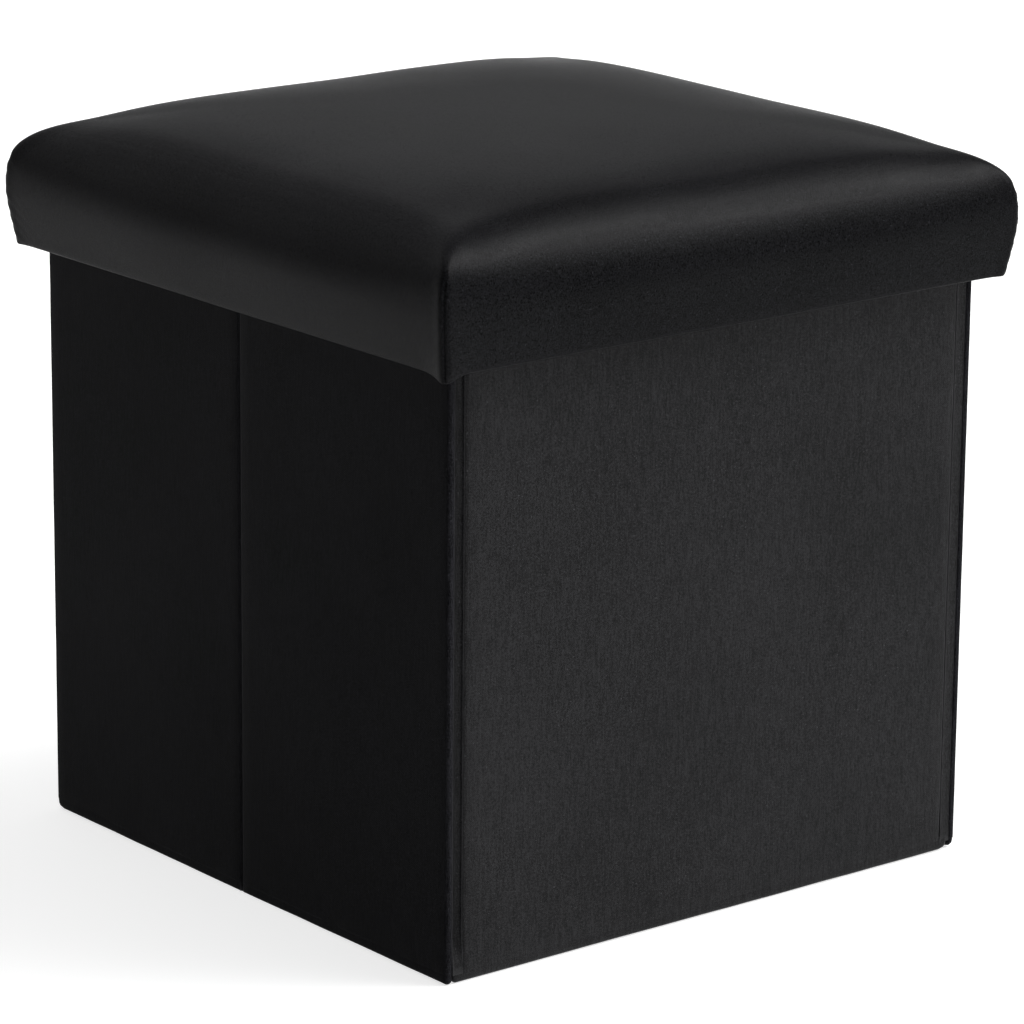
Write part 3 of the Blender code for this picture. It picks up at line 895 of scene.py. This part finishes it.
def shape_lid(mesh, half, rim_z):
    """Corner seams, the ridges that run in from them, the drooping rim corners and slack in the cloth."""
    for vert in mesh.vertices:
        x, y, z = vert.co
        ax, ay = abs(x), abs(y)
        diagonal = Vector((math.copysign(1, x), math.copysign(1, y), 0)) / math.sqrt(2)
        off = (ax - ay) / math.sqrt(2)
        inward = (half * math.sqrt(2) - (ax + ay) / math.sqrt(2))
        turned = z < rim_z + 20 * MM and max(ax, ay) < half - 8 * MM
        if not turned:
            # the seam: a groove between two soft lips, puckered by its thread
            up = z - rim_z
            sewn = 1 - ease(SEAM_TALL - 6 * MM, SEAM_TALL, up)
            near = 1 - ease(14 * MM, 40 * MM, inward)
            groove = SEAM_DEEP * math.exp(-(off / SEAM_WIDE) ** 2)
            groove += SEAM_END_DEEP * math.exp(-((up - SEAM_TALL + 3 * MM) / (3 * MM)) ** 2
                                          - (off / (1.6 * MM)) ** 2)
            lips = SEAM_LIP * math.exp(-((abs(off) - 3.0 * MM) / (2.0 * MM)) ** 2)
            pucker = (SEAM_PUCKER * math.sin(2 * math.pi * up / (7 * MM) + off / MM)
                      * math.exp(-abs(off) / (6 * MM)))
            vert.co += diagonal * (sewn * near * (lips + pucker - groove))
            # the ridge over the padding
            along = inward / RIDGE_LONG
            over = ease(SEAM_TALL - 12 * MM, SEAM_TALL + 4 * MM, up)
            if along < 1 and over > 0:
                width = 4.5 * MM + 0.14 * inward
                rise = RIDGE_HIGH * (1 - along) ** 1.5 * math.exp(-(off / width) ** 2)
                vert.co += (Vector((0, 0, 0.8)) + 0.5 * diagonal) * rise * over
            # soft slack over the padding
            top = ease(SEAM_TALL, SEAM_TALL + 12 * MM, up)
            vert.co.z += top * (TOP_WAVE * wave(x, y, 0.0, 7.0, 83.0)
                                + TOP_RIPPLE * wave(x, y, 0.0, 22.0, 85.0))
            skirt = (1 - top) * ease(0.0, 8 * MM, up)
            out = Vector((x, y, 0)).normalized()
            vert.co += out * (skirt * (SKIRT_WAVE * wave(x, y, z, 13.0, 87.0)))
        # the rim hangs lower at the corners, and is slightly uneven between them
        low = 1 - ease(0.0, 22 * MM, z - rim_z)
        corner = math.exp(-((2 * (half - RIM_NARROWER) - ax - ay) / (9 * MM)) ** 2)
        droop = RIM_DROOP if x < 0 and y < 0 else RIM_DROOP_ELSEWHERE
        vert.co.z += low * (RIM_RAISE - droop * corner + RIM_WAVE * wave(x, y, 0.0, 12.0, 91.0))


def lid_inside(turn_half):
    """The lining glued under the lid's board and inside its rim, and the stitches along the turned cloth."""
    low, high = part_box("lid_lining")
    half = high.x - 0.45 * MM
    top = high.z - 0.1 * MM
    rows = [(half, top - drop * MM, LID_LINING_CORNER) for drop in (1.0, 3.0, 8.0, 14.0, 20.0, 26.0)]
    rows.append((half, top - LID_LINING_DEEP, LID_LINING_CORNER))

    def sag(u, v):
        free = ease(0.0, 0.15, 1 - max(abs(u), abs(v)))
        return top - free * 0.5 * MM * (0.5 + 0.5 * wave(u, v, 0.0, 3.0, 95.0))

    bm = ring_sheet(22, rows, half, LID_LINING_CORNER, sag)
    bmesh.ops.reverse_faces(bm, faces=bm.faces)
    piece = thicken(new_piece("lid_lining_sheet", bm, LINING), 0.35 * MM)
    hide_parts("lid_lining")
    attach(piece, "lid")

    z = low.z - MM + 11.0 * MM
    reach = turn_half - 6 * MM
    pairs = []
    for side_x, side_y in ((1, 0), (-1, 0), (0, 1), (0, -1)):
        across = Vector((side_x, side_y, 0))
        along = Vector((-side_y, side_x, 0))
        for a, b in stitch_line(lambda s: across * turn_half + along * s + Vector((0, 0, z)), -reach, reach):
            pairs.append((a, b, -across))
    stitches("lid_rim_stitches", pairs, "lid")


for wall_name in WALLS:
    wall_cover(wall_name)
    wall_hem(wall_name)
    wall_binding(wall_name)
    wall_lining(wall_name)
corner_channels()
middle_folds()
base()
bottom()
lid_inside(lid_shell())

# ---- studio -------------------------------------------------------------
CAMERA_PLACE = Vector((-1.62601, -2.02832, 0.89900))
CAMERA_AZIMUTH = -38.8109
CAMERA_ELEVATION = 15.5206
CAMERA_ROLL = 0.5089
CAMERA_LENS = 178.023
FLOOR_TONE = 0.55
FLOOR_GLOW = 0.66


def add_camera():
    azimuth, elevation = math.radians(CAMERA_AZIMUTH), math.radians(CAMERA_ELEVATION)
    back = Vector((math.sin(azimuth) * math.cos(elevation), -math.cos(azimuth) * math.cos(elevation),
                   math.sin(elevation)))
    right = Vector((0, 0, 1)).cross(back).normalized()
    up = back.cross(right)
    roll = math.radians(CAMERA_ROLL)
    x = right * math.cos(roll) + up * math.sin(roll)
    y = -right * math.sin(roll) + up * math.cos(roll)
    camera = bpy.data.objects.new("camera", bpy.data.cameras.new("camera"))
    bpy.context.scene.collection.objects.link(camera)
    camera.data.lens = CAMERA_LENS
    camera.data.sensor_width = 36.0
    camera.data.clip_end = 100.0
    turn = Matrix((x, y, back)).transposed().to_4x4()
    camera.matrix_world = Matrix.Translation(CAMERA_PLACE) @ turn
    bpy.context.scene.camera = camera


def add_floor():
    bm = bmesh.new()
    bmesh.ops.create_grid(bm, x_segments=4, y_segments=4, size=20.0)
    mesh = bpy.data.meshes.new("floor")
    bm.to_mesh(mesh)
    bm.free()
    floor = bpy.data.objects.new("floor", mesh)
    floor.location = (0, 0, -0.2 * MM)
    bpy.context.scene.collection.objects.link(floor)
    s = Shader("pale_floor")
    s.bsdf.inputs["Base Color"].default_value = (FLOOR_TONE, FLOOR_TONE, FLOOR_TONE, 1.0)
    s.bsdf.inputs["Roughness"].default_value = 0.9
    s.bsdf.inputs["Specular IOR Level"].default_value = 0.0
    s.bsdf.inputs["Emission Color"].default_value = (1.0, 1.0, 1.0, 1.0)
    s.bsdf.inputs["Emission Strength"].default_value = FLOOR_GLOW
    mesh.materials.append(s.material)


# how high a direction points, from -1 to 1, and how bright the light from there is
SKY_BANDS = [(-1.0, 0.3), (0.0, 0.15), (0.2, 0.44), (0.31, 0.66), (0.48, 0.05), (0.80, 0.05),
             (0.92, 1.2), (1.0, 1.2)]
# direction, strength and tightness
LAMPS = [(Vector((0.604, -0.34, 0.72)), 19.0, 32.0),
         (Vector((-0.25, 0.74, 0.62)), 0.7, 8.0)]


def add_sky():
    """Soft studio light from all round: a band low down, dim above, bright overhead, and two soft lamps."""
    world = bpy.data.worlds.new("studio")
    bpy.context.scene.world = world
    world.use_nodes = True
    tree = world.node_tree
    background = tree.nodes["Background"]
    background.inputs["Color"].default_value = (1.0, 1.0, 1.0, 1.0)
    place = tree.nodes.new("ShaderNodeTexCoord").outputs["Generated"]
    parts = tree.nodes.new("ShaderNodeSeparateXYZ")
    tree.links.new(place, parts.inputs[0])

    def calculate(operation, a, b):
        made = tree.nodes.new("ShaderNodeMath")
        made.operation = operation
        for socket, value in zip(made.inputs, (a, b)):
            if hasattr(value, "is_linked"):
                tree.links.new(value, socket)
            else:
                socket.default_value = value
        return made.outputs[0]

    bands = tree.nodes.new("ShaderNodeFloatCurve")
    curve = bands.mapping.curves[0]
    highest = max(value for _, value in SKY_BANDS)
    points = [((z + 1) / 2, value / highest) for z, value in SKY_BANDS]
    while len(curve.points) < len(points):
        curve.points.new(0.5, 0.5)
    for point, location in zip(curve.points, points):
        point.location = location
        point.handle_type = "AUTO_CLAMPED"
    bands.mapping.update()
    from_below = calculate("ADD", parts.outputs["Z"], 1.0)
    tree.links.new(calculate("MULTIPLY", from_below, 0.5), bands.inputs["Value"])
    strength = calculate("MULTIPLY", bands.outputs[0], highest)
    for direction, power, tightness in LAMPS:
        facing = tree.nodes.new("ShaderNodeVectorMath")
        facing.operation = "DOT_PRODUCT"
        tree.links.new(place, facing.inputs[0])
        facing.inputs[1].default_value = direction.normalized()
        lobe = calculate("POWER", calculate("MAXIMUM", facing.outputs["Value"], 0.0), tightness)
        strength = calculate("ADD", strength, calculate("MULTIPLY", lobe, power))
    tree.links.new(strength, background.inputs["Strength"])
    bpy.context.scene.view_settings.view_transform = "Standard"


add_camera()
add_floor()
add_sky()
